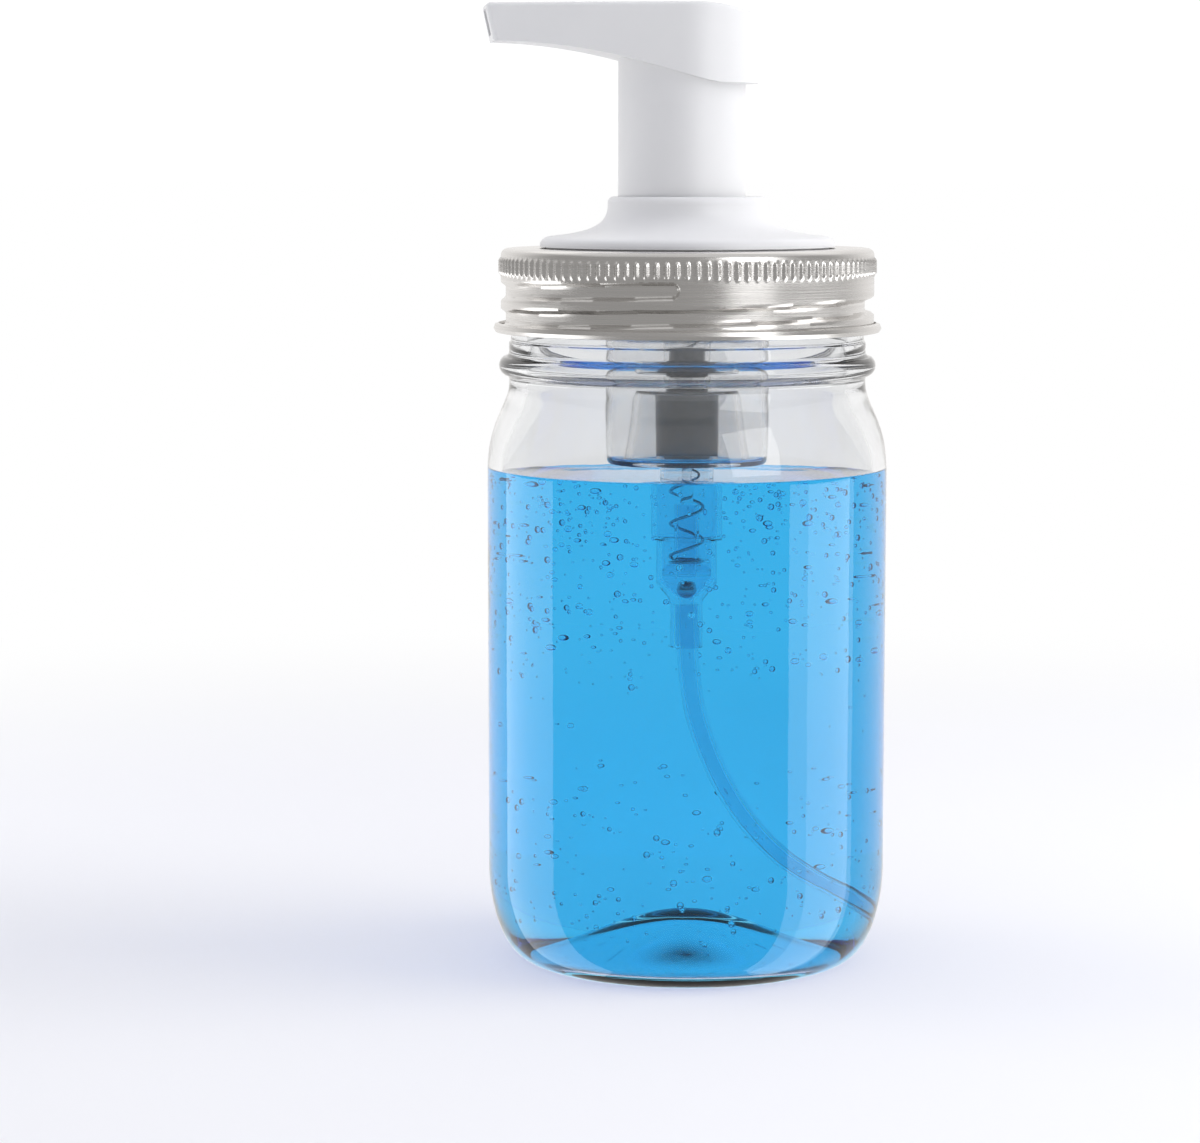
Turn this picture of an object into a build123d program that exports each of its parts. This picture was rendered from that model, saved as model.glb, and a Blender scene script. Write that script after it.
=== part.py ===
from build123d import *

import os
from math import atan2, cos, pi, radians, sin, tan

os.makedirs("parts", exist_ok=True)

# A foaming soap pump screwed on a regular-mouth preserving jar.
# Millimetres, +Z up, the origin at the centre of the jar's base, the spout towards -X.

# Clearances
touch_gap = 0.02  # pieces pushed together, in one body
seat_gap = 0.05  # pieces that rest in each other, in one body
seal_gap = 0.05  # radial running fit of a sliding lip
free_gap = 0.30  # pieces that move past each other
valve_gap = 0.08  # a valve resting close to its seat
end_gap = 0.40  # what is left between pieces at the end of a stroke

# Glass jar
jar_radius = 38.7
jar_wall = 2.7
jar_height = 134.6
heel_reach = 7.9
heel_height = 18.5
foot_width = 2.2
foot_rise = 0.8
foot_slope = 2.4
push_up = 7.2
push_up_radius = 24.5  # where the raised base turns flat
inner_heel_reach = 9.0
inner_heel_height = 16.2
floor_height = 2.9
floor_rise = 8.0
floor_hump_radius = 26.5  # where the hump in the floor turns flat
neck_radius = 34.45
neck_bore = 31.0
shoulder_length = 17.5
shoulder_drop = 22.1  # from the rim to the top of the shoulder
bead_drop = 18.8
bead_reach = 1.95
bead_half = 2.2
finish_radius = 34.1
finish_length = 14.4
rim_round = 0.9
finish_step = 0.5
shoulder_lag = 1.3  # the inner shoulder starts this much lower
shoulder_low_pull = 0.6  # how far the S-curve keeps to each upright wall, as shares of it
shoulder_high_pull = 0.25

# Screw thread of the jar and its band
thread_pitch = 5.08
thread_turns = 1.25
thread_reach = 1.3
thread_base = 2.2
thread_tip = 1.2
thread_drop = 9.8  # from the rim to the start of the jar's ridge
thread_root = 0.25  # how deep a ridge is rooted in its wall

# Screw band
band_sheet = 0.5
band_radius = 36.3
band_opening = 27.6
band_height = 16.2
band_ridge_reach = 0.8
curl_radius = 0.95

# Stack at the rim
gasket_thickness = 1.2
gasket_inner = 29.8
gasket_outer = 34.4
plate_thickness = 1.7
plate_radius = 35.0
washer_thickness = 0.6
flange_thickness = 1.2
flange_radius = 20.0

# White collar
collar_radius = 28.5
collar_height = 9.6
collar_edge = 2.0
collar_edge_pull = 0.7  # shares that shape the rounded edge of its disc
collar_edge_draw = 0.5
collar_edge_sag = 0.1
collar_neck_wall = 1.65
collar_lip_round = 0.3
collar_brow_round = 1.2  # the outer edge of its neck
bell_sweep = 0.65  # shares that shape the bell's hollow curve
bell_lift = 0.09
bell_turn = 0.25
bell_straight = 0.78  # above this share of its rise the neck is upright

# Air cylinder
air_radius = 15.8
air_wall = 1.1
air_depth = 41.8
air_taper = 0.3
air_taper_height = 7.5
air_corner = 1.5
cone_height = 12.5
cone_low = 12.2
cone_high = 9.9

# Liquid cylinder below it
sleeve_high = 6.3
sleeve_low = 6.0
liquid_radius = 5.2
liquid_wall = 0.8
liquid_length = 14.9
lower_radius = 4.4
lower_length = 8.3
funnel_length = 3.2
funnel_throat = 1.0
socket_length = 9.2
socket_wall = 0.75
socket_stop = 0.8

# Dip tube
tube_radius = 1.6
tube_bore = 1.0
tube_tip_inset = 4.7  # from the jar's inner wall to the tip's centre line
tube_tip_rise = 6.0  # from the jar's floor to the tip's centre line
tube_bends = ((0.0, 0.12), (0.102, 0.404), (0.294, 0.668))  # shares of the way to the tip
tube_end_across = 12.8  # the last run, that lies in the jar's heel
tube_end_down = 6.68
arc_share = 0.45  # of the shorter run beside a bend, taken by its arc

# Valves and spring
stroke = 14.0
ball_radius = 1.5
ball_lift = 0.8
seat_thickness = 2.0
seat_bore = 1.3
seat_hub = 1.8
rod_radius = 0.95
rod_head_radius = 2.4
rod_head_height = 3.0
rod_cone_height = 1.8
wire_radius = 0.28
spring_radius = 2.37
spring_turns = 7.4
spring_rise = 10.0  # from the foot of the stem to the top of the spring

# Liquid piston and its hollow rod
piston_body = 4.1
piston_bore = 2.95
lip_length = 1.6
lip_slope = 0.96
spigot_length = 1.4
stem_radius = 4.6
stem_bore = 3.6
stem_shoulder = 2.0
stem_hole = 1.6
stem_outlet = 2.8
stem_cup = 15.0  # the wider bore above the stem's shoulder

# Air piston
air_piston_height = 13.5
air_piston_wall = 1.0
air_piston_waist = 0.45
air_lip_height = 1.5
hub_wall = 1.3
web_thickness = 1.2
web_drop = 6.8
intake_radius = 0.7
intake_circle = 10.0
intake_count = 8
valve_ring_thickness = 0.65
valve_ring_inner = 7.0
valve_ring_outer = 12.6

# Foam parts inside the head
mixer_flange = 8.5
mixer_flange_thickness = 1.2
mixer_height = 7.6
mixer_bore = 3.2
foam_radius = 6.0
mesh_thickness = 0.3
mesh_strand = 0.14
mesh_count = 13
holder_height = 11.0
holder_wall = 0.9

# Head
head_turn = 5.0  # degrees from -X towards the front
head_gap = 21.5  # from the collar to the underside of the head
head_height = 15.1
head_radius = 13.5
spout_reach = 39.3
spout_half = 5.0
spout_corner = 1.2
spout_height = 7.25
spout_slant = 1.6
underside_start = 0.45  # shares of the head's radius that shape the S of its underside
underside_pull = 0.12
underside_turn = 1.07
underside_sag = 0.3
tip_sag = 0.2
back_reach = 1.1  # of the head's radius, past which nothing is left
head_wall = 0.95
head_edge = 1.0
top_slope_radius = 36.0
dish_radius = 60.0
dish_depth = 0.55
window_width = 6.6
window_height = 5.0
window_corner = 1.2
skirt_radius = 12.25
skirt_offset = 1.15
skirt_wall = 1.4
skirt_depth = 7.0  # how far the skirt reaches into the collar
skirt_web_rise = 17.0
skirt_gap = 0.35  # between the skirt and the collar's bore
skirt_drop = 1.4  # from the spout's underside to the skirt's top
core_wall = 1.2
core_length = 26.5
nozzle_width = 6.0
nozzle_height = 4.2
nozzle_wall = 0.8
nozzle_setback = 2.6
nozzle_gap = 0.4  # below the head's top wall
cap_drop = 2.2  # from the head's top to the cap's

# Soap
soap_drop = 1.5  # from the air cylinder's floor down to the surface
soap_gap = 0.15

# Levels that follow from the sizes above
neck_top = jar_height - shoulder_drop
shoulder_low = neck_top - shoulder_length
bead_centre = jar_height - bead_drop
finish_low = jar_height - finish_length
plate_low = jar_height + gasket_thickness
plate_top = plate_low + plate_thickness
band_under = plate_top + free_gap
band_top = band_under + band_sheet
collar_under = band_top + free_gap
collar_top = collar_under + collar_height
washer_top = plate_top + washer_thickness
cylinder_top = washer_top + flange_thickness
air_floor = cylinder_top - air_depth
liquid_step = air_floor - liquid_length
lower_end = liquid_step - lower_length
socket_top = lower_end - funnel_length
socket_end = socket_top - socket_length
soap_level = air_floor - soap_drop

collar_bore = skirt_radius + skirt_offset + skirt_gap
collar_neck_radius = collar_bore + collar_neck_wall
air_bore = air_radius - air_wall
liquid_bore = liquid_radius - liquid_wall
lower_bore = lower_radius - liquid_wall
socket_bore = tube_radius + touch_gap
socket_radius = socket_bore + socket_wall
bore_step = liquid_step + liquid_wall
funnel_top = lower_end + liquid_wall
funnel_low = socket_top + liquid_wall

piston_low = bore_step + stroke + end_gap
wide_bore_low = piston_low + lip_length + end_gap
stem_low = wide_bore_low + stroke + end_gap
wide_bore = stem_radius + free_gap

air_piston_top = cylinder_top - free_gap
air_piston_low = air_piston_top - air_piston_height
mixer_low = air_piston_top + free_gap
head_low = collar_top + head_gap
head_top = head_low + head_height
skirt_low = collar_top - skirt_depth

# The ball sits in the funnel's cone
cone_angle = atan2(lower_bore - funnel_throat, funnel_top - funnel_low)
cone_apex = funnel_low - funnel_throat / tan(cone_angle)
ball_centre = cone_apex + (ball_radius + valve_gap) / sin(cone_angle)
seat_low = ball_centre + ball_radius + ball_lift + end_gap
seat_top = seat_low + seat_thickness
rod_low = seat_low + stroke
hub_top = rod_low - end_gap
spring_low = seat_top + touch_gap
spring_high = stem_low + spring_rise
shoulder_top = spring_high + touch_gap + stem_shoulder
stem_top = shoulder_top + stem_cup

head_axis = Vector(cos(radians(head_turn)), sin(radians(head_turn)), 0)
head_plane = Plane(origin=(0, 0, 0), x_dir=head_axis, z_dir=(0, 0, 1))
head_side = Plane(origin=(0, 0, 0), x_dir=head_axis, z_dir=-head_plane.y_dir)


def save(piece, name):
    """Label a finished piece and write it."""
    piece.part.label = name
    export_step(piece.part, f"parts/{name}.step")


def ring(inner, outer, low, high):
    """A plain ring about the Z axis."""
    with BuildPart() as made:
        with BuildSketch(Plane.XY.offset(low)):
            Circle(outer)
            if inner > 0:
                Circle(inner, mode=Mode.SUBTRACT)
        extrude(amount=high - low)
    return made


def turned(*points):
    """A closed straight-sided profile turned about the Z axis."""
    with BuildPart() as made:
        with BuildSketch(Plane.XZ):
            with BuildLine():
                Polyline(*points, close=True)
            make_face()
        revolve(axis=Axis.Z)
    return made


def screw_ridge(radius, reach, start):
    """A helical ridge that stands out from a wall by reach, or in if reach is negative."""
    side = 1 if reach > 0 else -1
    root = -side * thread_root
    with BuildPart(mode=Mode.PRIVATE) as ridge:
        with BuildLine() as path:
            Helix(thread_pitch, thread_pitch * thread_turns, radius, center=(0, 0, start))
        helix = path.line
        with BuildSketch(Plane(origin=helix @ 0, x_dir=(1, 0, 0), z_dir=helix % 0)):
            with BuildLine():
                Polyline(
                    (root, -thread_base / 2),
                    (reach, -thread_tip / 2),
                    (reach, thread_tip / 2),
                    (root, thread_base / 2),
                    close=True,
                )
            make_face()
        sweep(path=helix, is_frenet=True)
    return ridge.part


def wall_slope(inner, low, high_radius, high):
    """The jar's S-shaped shoulder between two upright walls."""
    Bezier(
        (inner, low),
        (inner, low + shoulder_low_pull * shoulder_length),
        (high_radius, high - shoulder_high_pull * shoulder_length),
        (high_radius, high),
    )


def jar_floor_line(gap):
    """The inner half profile from the floor's centre to the foot of the shoulder, drawn in by gap."""
    inner = jar_radius - jar_wall
    floor = floor_height + gap
    heel_centre = floor_height + inner_heel_height
    Spline((0, floor + floor_rise), (floor_hump_radius, floor), tangents=((1, 0), (1, 0)))
    Line((floor_hump_radius, floor), (inner - inner_heel_reach, floor))
    EllipticalCenterArc(
        (inner - inner_heel_reach, heel_centre),
        inner_heel_reach - gap,
        inner_heel_height - gap,
        start_angle=270,
        arc_size=90,
    )


# Glass jar: foot, elliptical heel, straight wall, shoulder, bead and finish
def jar_outline():
    foot_outer = jar_radius - heel_reach
    foot_inner = foot_outer - foot_width
    slope_inner = foot_inner - foot_slope
    Spline((0, push_up), (push_up_radius, foot_rise), tangents=((1, 0), (1, 0)))
    Line((push_up_radius, foot_rise), (slope_inner, foot_rise))
    Line((slope_inner, foot_rise), (foot_inner, 0))
    Line((foot_inner, 0), (foot_outer, 0))
    EllipticalCenterArc(
        (foot_outer, heel_height), heel_reach, heel_height, start_angle=270, arc_size=90
    )
    Line((jar_radius, heel_height), (jar_radius, shoulder_low))
    wall_slope(jar_radius, shoulder_low, neck_radius, neck_top)
    Line((neck_radius, neck_top), (neck_radius, bead_centre - bead_half))
    ThreePointArc(
        (neck_radius, bead_centre - bead_half),
        (neck_radius + bead_reach, bead_centre),
        (neck_radius, bead_centre + bead_half),
    )
    Line((neck_radius, bead_centre + bead_half), (neck_radius, finish_low))
    Line((neck_radius, finish_low), (finish_radius, finish_low + finish_step))
    Line((finish_radius, finish_low + finish_step), (finish_radius, jar_height))


def jar_inline():
    inner = jar_radius - jar_wall
    inner_low = shoulder_low - shoulder_lag
    inner_top = neck_top - shoulder_lag
    jar_floor_line(0)
    Line((inner, floor_height + inner_heel_height), (inner, inner_low))
    wall_slope(inner, inner_low, neck_bore, inner_top)
    Line((neck_bore, inner_top), (neck_bore, jar_height))


with BuildPart() as glass_jar:
    with BuildSketch(Plane.XZ):
        with BuildLine():
            jar_outline()
            Line((finish_radius, jar_height), (neck_bore, jar_height))
            jar_inline()
            Line((0, floor_height + floor_rise), (0, push_up))
        make_face()
    revolve(axis=Axis.Z)
    fillet(glass_jar.edges().group_by(Axis.Z)[-1], radius=rim_round)
    add(screw_ridge(finish_radius, thread_reach, jar_height - thread_drop))
save(glass_jar, "glass_jar")


# Screw band: flange, skirt, curled lip and the ridge that runs between the jar's turns
with BuildPart() as screw_band:
    curl_height = band_top - band_height + curl_radius
    with BuildSketch(Plane.XZ):
        with BuildLine():
            Polyline(
                (band_opening, band_under),
                (band_radius - band_sheet, band_under),
                (band_radius - band_sheet, curl_height),
                (band_radius, curl_height),
                (band_radius, band_top),
                (band_opening, band_top),
                close=True,
            )
        make_face()
        with Locations((band_radius - band_sheet + curl_radius, curl_height)):
            Circle(curl_radius)
    revolve(axis=Axis.Z)
    fillet(
        screw_band.edges().filter_by_position(Axis.Z, band_top, band_top).sort_by(SortBy.RADIUS)[-1],
        radius=band_sheet / 2,
    )
    add(
        screw_ridge(
            band_radius - band_sheet,
            -band_ridge_reach,
            jar_height - thread_drop + thread_pitch / 2,
        )
    )
save(screw_band, "screw_band")


# Sealing ring, insert plate and the washer under the cylinder's flange
jar_gasket = ring(gasket_inner, gasket_outer, jar_height, plate_low)
save(jar_gasket, "jar_gasket")
insert_plate = ring(air_radius + seat_gap, plate_radius, plate_low, plate_top)
save(insert_plate, "insert_plate")
cylinder_washer = ring(air_radius + seat_gap, flange_radius, plate_top, washer_top)
save(cylinder_washer, "cylinder_washer")


# White collar: a bell with a thin disc edge, over a boss that passes through the band
with BuildPart() as pump_collar:
    edge_top = collar_under + collar_edge
    bell_foot = collar_radius - collar_edge
    bell_rise = collar_top - edge_top
    bell_top = edge_top + bell_straight * bell_rise
    recess = flange_radius + seat_gap
    with BuildSketch(Plane.XZ):
        with BuildLine():
            Polyline(
                (collar_bore, collar_top),
                (collar_bore, cylinder_top),
                (recess, cylinder_top),
                (recess, plate_top),
                (band_opening - free_gap, plate_top),
                (band_opening - free_gap, collar_under),
                (collar_radius, collar_under),
            )
            Bezier(
                (collar_radius, collar_under),
                (collar_radius, collar_under + collar_edge_pull * collar_edge),
                (collar_radius - collar_edge_draw * collar_edge, edge_top - collar_edge_sag),
                (bell_foot, edge_top),
            )
            Bezier(
                (bell_foot, edge_top),
                (
                    bell_foot - bell_sweep * (bell_foot - collar_neck_radius),
                    edge_top + bell_lift * bell_rise,
                ),
                (collar_neck_radius, edge_top + bell_turn * bell_rise),
                (collar_neck_radius, bell_top),
            )
            Polyline(
                (collar_neck_radius, bell_top),
                (collar_neck_radius, collar_top),
                (collar_bore, collar_top),
            )
        make_face()
    revolve(axis=Axis.Z)
    rim = pump_collar.edges().group_by(Axis.Z)[-1].sort_by(SortBy.RADIUS)
    fillet(rim[-1], radius=collar_brow_round)
    rim = pump_collar.edges().group_by(Axis.Z)[-1].sort_by(SortBy.RADIUS)
    fillet(rim[0], radius=collar_lip_round)
save(pump_collar, "pump_collar")


# Pump cylinder: flange, air cylinder, re-entrant cone, liquid cylinder, funnel and socket
def cylinder_outside():
    """Down the outside of the air cylinder, then from its floor to the socket's mouth."""
    return (
        (flange_radius, cylinder_top),
        (flange_radius, washer_top),
        (air_radius, washer_top),
        (air_radius, air_floor + air_taper_height),
        (air_radius - air_taper, air_floor),
        (cone_low - air_wall, air_floor),
        (cone_high - air_wall, air_floor + cone_height),
        (sleeve_high, air_floor + cone_height),
        (sleeve_low, air_floor),
        (liquid_radius, air_floor),
        (liquid_radius, liquid_step),
        (lower_radius, liquid_step),
        (lower_radius, lower_end),
        (socket_radius, socket_top),
        (socket_radius, socket_end),
    )


def cylinder_inside():
    """From the socket's mouth up the bores, over the cone and up the air cylinder."""
    return (
        (socket_bore, socket_end),
        (socket_bore, socket_top - socket_stop),
        (funnel_throat, socket_top - socket_stop),
        (funnel_throat, funnel_low),
        (lower_bore, funnel_top),
        (lower_bore, bore_step),
        (liquid_bore, bore_step),
        (liquid_bore, wide_bore_low),
        (wide_bore, wide_bore_low),
        (wide_bore, air_floor + cone_height + air_wall),
        (cone_high, air_floor + cone_height + air_wall),
        (cone_low, air_floor + air_wall),
        (air_bore, air_floor + air_wall),
        (air_bore, cylinder_top),
    )


pump_cylinder = turned(*cylinder_outside(), *cylinder_inside())
with pump_cylinder:
    floor_edges = pump_cylinder.edges().filter_by(GeomType.CIRCLE)
    corner = [e for e in floor_edges if abs(e.radius - air_radius + air_taper) < touch_gap]
    fillet(corner, radius=air_corner)
save(pump_cylinder, "pump_cylinder")


# Dip tube: straight runs joined by tangent arcs, from the socket to the heel of the jar
tip_x = jar_radius - jar_wall - tube_tip_inset
tip_z = floor_height + tube_tip_rise
tube_start = (0, 0, socket_top - socket_stop - touch_gap)
tube_tip = (tip_x, 0, tip_z)
tube_drop = socket_end - tip_z
tube_route = [tube_start]
for across, down in tube_bends:
    tube_route.append((across * tip_x, 0, socket_end - down * tube_drop))
tube_route.append((tip_x - tube_end_across, 0, tip_z + tube_end_down))
tube_route.append(tube_tip)


def arc_radii(route):
    """Each corner's arc takes the same share of its shorter run."""
    points = [Vector(p) for p in route]
    radii = []
    for before, at, after in zip(points, points[1:], points[2:]):
        first = at - before
        second = after - at
        turn = radians(first.get_angle(second))
        radii.append(arc_share * min(first.length, second.length) / tan(turn / 2))
    return radii


tube_radii = arc_radii(tube_route)
print("dip tube arc radii", [round(r, 1) for r in tube_radii])


def tube_along(outer, inner):
    """The dip tube's route swept with a round section."""
    with BuildPart() as made:
        with BuildLine() as path:
            FilletPolyline(*tube_route, radius=tube_radii)
        route = path.wire()
        with BuildSketch(Plane(origin=route @ 0, z_dir=route % 0)):
            Circle(outer)
            if inner > 0:
                Circle(inner, mode=Mode.SUBTRACT)
        sweep(path=route)
    return made, route.length


dip_tube, tube_length = tube_along(tube_radius, tube_bore)
tube_section = pi * (tube_radius**2 - tube_bore**2)
print("dip tube length", round(tube_length, 2), "volume", round(dip_tube.part.volume, 2))
print("section times length", round(tube_section * tube_length, 2))
save(dip_tube, "dip_tube")


# Inlet ball in the funnel, and the seat that holds the spring above it
with BuildPart() as inlet_ball:
    with Locations((0, 0, ball_centre)):
        Sphere(ball_radius)
save(inlet_ball, "inlet_ball")
spring_seat = turned(
    (seat_bore, seat_low),
    (lower_bore - seat_gap, seat_low),
    (lower_bore - seat_gap, seat_low + seat_thickness / 2),
    (spring_radius + 2 * wire_radius, seat_top),
    (seat_hub, seat_top),
    (seat_hub, hub_top),
    (seat_bore, hub_top),
)
save(spring_seat, "spring_seat")


# Return spring: open coils with plain ends
with BuildPart() as return_spring:
    coil_low = spring_low + wire_radius
    coil_high = spring_high - wire_radius
    coil_pitch = (coil_high - coil_low) / spring_turns
    with BuildLine() as coil_path:
        Helix(coil_pitch, coil_high - coil_low, spring_radius, center=(0, 0, coil_low))
    coil = coil_path.line
    with BuildSketch(Plane(origin=coil @ 0, x_dir=(1, 0, 0), z_dir=coil % 0)):
        Circle(wire_radius)
    sweep(path=coil, is_frenet=True)
save(return_spring, "return_spring")


# Liquid piston: a sealing lip, a body and a spigot that carries the hollow stem
liquid_piston = turned(
    (piston_bore, piston_low),
    (liquid_bore - seal_gap, piston_low),
    (liquid_bore - seal_gap, piston_low + lip_length),
    (piston_body, piston_low + lip_length + lip_slope),
    (piston_body, stem_low),
    (stem_bore - seat_gap, stem_low),
    (stem_bore - seat_gap, stem_low + spigot_length),
    (piston_bore, stem_low + spigot_length),
)
save(liquid_piston, "liquid_piston")
piston_stem = turned(
    (stem_bore, stem_low),
    (stem_radius, stem_low),
    (stem_radius, stem_top),
    (stem_outlet, stem_top),
    (stem_outlet, shoulder_top),
    (stem_hole, shoulder_top),
    (stem_hole, shoulder_top - stem_shoulder),
    (stem_bore, shoulder_top - stem_shoulder),
)
save(piston_stem, "piston_stem")


# Outlet valve rod: a long pin whose conical head closes the stem's shoulder
head_slope = (rod_head_radius - rod_radius) / rod_cone_height
cone_start = shoulder_top - (stem_hole - 2 * valve_gap - rod_radius) / head_slope
outlet_rod = turned(
    (0, rod_low),
    (rod_radius, rod_low),
    (rod_radius, cone_start),
    (rod_head_radius, cone_start + rod_cone_height),
    (rod_head_radius, cone_start + rod_head_height),
    (0, cone_start + rod_head_height),
)
save(outlet_rod, "outlet_rod")


# Air piston: a hub round the stem, a web with intake holes and a skirt with two lips
air_lip = air_bore - seal_gap
air_waist = air_lip - air_piston_waist
air_inner = air_waist - air_piston_wall
web_top = air_piston_top - web_drop
with BuildPart() as air_piston:
    with BuildSketch(Plane.XZ):
        with BuildLine():
            Polyline(
                (wide_bore, air_piston_low + air_lip_height),
                (wide_bore + hub_wall, air_piston_low + air_lip_height),
                (wide_bore + hub_wall, web_top - web_thickness),
                (air_inner, web_top - web_thickness),
                (air_inner, air_piston_low),
                (air_lip, air_piston_low),
                (air_lip, air_piston_low + air_lip_height),
                (air_waist, air_piston_low + 2 * air_lip_height),
                (air_waist, air_piston_top - 2 * air_lip_height),
                (air_lip, air_piston_top - air_lip_height),
                (air_lip, air_piston_top),
                (air_inner, air_piston_top),
                (air_inner, web_top),
                (wide_bore + hub_wall, web_top),
                (wide_bore + hub_wall, air_piston_top),
                (wide_bore, air_piston_top),
                close=True,
            )
        make_face()
    revolve(axis=Axis.Z)
    with Locations((0, 0, web_top)):
        with PolarLocations(intake_circle, intake_count):
            Hole(intake_radius, depth=2 * web_thickness)
save(air_piston, "air_piston")
air_valve_ring = ring(
    valve_ring_inner, valve_ring_outer, web_top + touch_gap, web_top + valve_ring_thickness
)
save(air_valve_ring, "air_valve_ring")


# Mixing chamber on top of the stem
mixer_top = mixer_low + mixer_height
mixing_chamber = turned(
    (stem_radius + touch_gap, mixer_low),
    (mixer_flange, mixer_low),
    (mixer_flange, mixer_low + mixer_flange_thickness),
    (foam_radius, mixer_low + mixer_flange_thickness),
    (foam_radius, mixer_top),
    (mixer_bore, mixer_top),
    (mixer_bore, stem_top + touch_gap),
    (stem_radius + touch_gap, stem_top + touch_gap),
)
save(mixing_chamber, "mixing_chamber")


# Foam meshes: a woven disc at each end of a short tube
def foam_mesh(low):
    """A rim ring crossed by two layers of thin strands."""
    layer = mesh_thickness / 2
    spacing = 2 * foam_radius / (mesh_count + 1)
    with BuildPart() as made:
        with BuildSketch(Plane.XY.offset(low)):
            Circle(foam_radius)
            Circle(foam_radius - holder_wall, mode=Mode.SUBTRACT)
        extrude(amount=mesh_thickness)
        for level, across in ((low, True), (low + layer, False)):
            with BuildSketch(Plane.XY.offset(level)):
                with BuildSketch(Plane.XY, mode=Mode.PRIVATE) as strands:
                    turn = 0 if across else 90
                    with Locations(Rotation(0, 0, turn)):
                        with GridLocations(0, spacing, 1, mesh_count):
                            Rectangle(2 * foam_radius, mesh_strand)
                add(strands.sketch)
                Circle(foam_radius - holder_wall / 2, mode=Mode.INTERSECT)
            extrude(amount=layer)
    return made


lower_mesh = foam_mesh(mixer_top + touch_gap)
save(lower_mesh, "lower_mesh")
holder_low = mixer_top + mesh_thickness + 2 * touch_gap
holder_top = holder_low + holder_height
mesh_holder = ring(foam_radius - holder_wall, foam_radius, holder_low, holder_top)
save(mesh_holder, "mesh_holder")
upper_mesh = foam_mesh(holder_top + touch_gap)
save(upper_mesh, "upper_mesh")


# Stem skirt: the outer sleeve, its web and the inner core that holds the foam parts
core_bore = foam_radius + seat_gap
core_low = mixer_low + mixer_flange_thickness + touch_gap
skirt_top = head_top - spout_height - skirt_drop
web_low = skirt_low + skirt_web_rise
with BuildPart() as stem_skirt:
    with BuildSketch(head_plane.offset(skirt_low)):
        with Locations((-skirt_offset, 0)):
            Circle(skirt_radius)
            Circle(skirt_radius - skirt_wall, mode=Mode.SUBTRACT)
    extrude(amount=skirt_top - skirt_low)
    with BuildSketch(head_plane.offset(web_low)):
        with Locations((-skirt_offset, 0)):
            Circle(skirt_radius - skirt_wall / 2)
        Circle(core_bore, mode=Mode.SUBTRACT)
    extrude(amount=skirt_wall)
    with BuildSketch(head_plane.offset(core_low)):
        Circle(core_bore + core_wall)
        Circle(core_bore, mode=Mode.SUBTRACT)
    extrude(amount=core_length)
save(stem_skirt, "stem_skirt")


# Nozzle insert: a cap over the core with a flat channel out to the spout's end
nozzle_low = core_low + core_length + touch_gap
channel_centre = head_top - head_wall - nozzle_gap - nozzle_height / 2
cap_top = head_top - cap_drop
cap_radius = core_bore + core_wall
channel_end = spout_reach - spout_slant - nozzle_setback
with BuildPart() as nozzle_insert:
    with BuildSketch(head_plane.offset(nozzle_low)):
        Circle(cap_radius)
    extrude(amount=cap_top - nozzle_low)
    channel_plane = Plane(
        origin=(0, 0, channel_centre), x_dir=head_plane.y_dir, z_dir=-head_axis
    )
    with BuildSketch(channel_plane):
        RectangleRounded(nozzle_width, nozzle_height, window_corner)
    extrude(amount=channel_end)
    with BuildSketch(head_plane.offset(nozzle_low)):
        Circle(core_bore - core_wall)
    extrude(amount=cap_top - nozzle_wall - nozzle_low, mode=Mode.SUBTRACT)
    with BuildSketch(channel_plane):
        RectangleRounded(
            nozzle_width - 2 * nozzle_wall, nozzle_height - 2 * nozzle_wall, window_corner / 2
        )
    extrude(amount=channel_end, mode=Mode.SUBTRACT)
save(nozzle_insert, "nozzle_insert")


# Head: a teardrop seen from above, with an S-shaped underside and a sloping back
def head_block(inset):
    """The head's solid outline drawn in by inset all round."""
    low = head_low + inset
    top = head_top - inset
    reach = spout_reach - inset
    tip_under = head_top - spout_height + inset
    back = back_reach * head_radius
    start = underside_start * head_radius
    with BuildPart(mode=Mode.PRIVATE) as block:
        with BuildSketch(head_plane.offset(low)):
            Circle(head_radius - inset)
            with Locations((-spout_reach - spout_half, 0)):
                Circle(spout_half - inset)
            make_hull()
        extrude(amount=head_height)
        with BuildSketch(head_side):
            with BuildLine():
                Line((-reach, top), (0, top))
                arc = TangentArc(
                    (0, top),
                    (back, top - back**2 / (2 * top_slope_radius)),
                    tangent=(1, 0),
                )
                Polyline(arc @ 1, (back, low), (start, low))
                Bezier(
                    (start, low),
                    (-underside_pull * head_radius, low + underside_sag),
                    (-underside_turn * head_radius, tip_under - tip_sag),
                    (-(reach - spout_slant), tip_under),
                )
                Line((-(reach - spout_slant), tip_under), (-reach, top))
            make_face()
        extrude(amount=2 * head_radius, both=True, mode=Mode.INTERSECT)
    return block.part


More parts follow.
